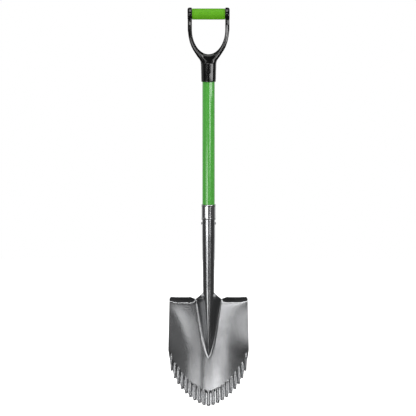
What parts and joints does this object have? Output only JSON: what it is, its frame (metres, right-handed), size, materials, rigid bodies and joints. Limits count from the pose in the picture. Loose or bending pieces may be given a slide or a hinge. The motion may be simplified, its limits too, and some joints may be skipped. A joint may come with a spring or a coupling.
{
  "type": "garden spade",
  "caption": "Garden digging spade: D-grip with sleeved cross bar, tube shaft, and a dished round-point steel blade with a toothed edge, foot steps and rolled socket.",
  "frame": {"origin": "middle of the bounding box's bottom: on the middle plane of the tool, at the height of the lowest tooth tip", "axes": "+Z along the shaft towards the grip, X across the blade, the blade's hollow front faces -Y; the shaft's axis stands at y = +0.018 m"},
  "size_m": [0.2448, 0.0838, 1.219],
  "materials": {
    "blade_steel": "pressed and clear-coated, faint lengthwise grain",
    "collar_chrome": "polished",
    "fastener_zinc": "zinc plated",
    "screw_black": "blackened steel",
    "shaft_green": "gloss pultruded fibreglass",
    "core_wood": "bare turned wood",
    "grip_black": "moulded, semi-gloss",
    "sleeve_green": "soft matte",
    "plug_black": "matte"
  },
  "bodies": {
    "root": {"blade": "blade_steel", "collar": "collar_chrome", "socket_rivet": "fastener_zinc", "shaft": "shaft_green", "socket_core_plug": "core_wood", "grip_core_plug": "core_wood", "grip_yoke": "grip_black", "grip_sleeve": "sleeve_green", "grip_screw": "screw_black", "bar_end_plug_left": "plug_black", "bar_end_plug_right": "plug_black"}
  },
  "joints": []
}
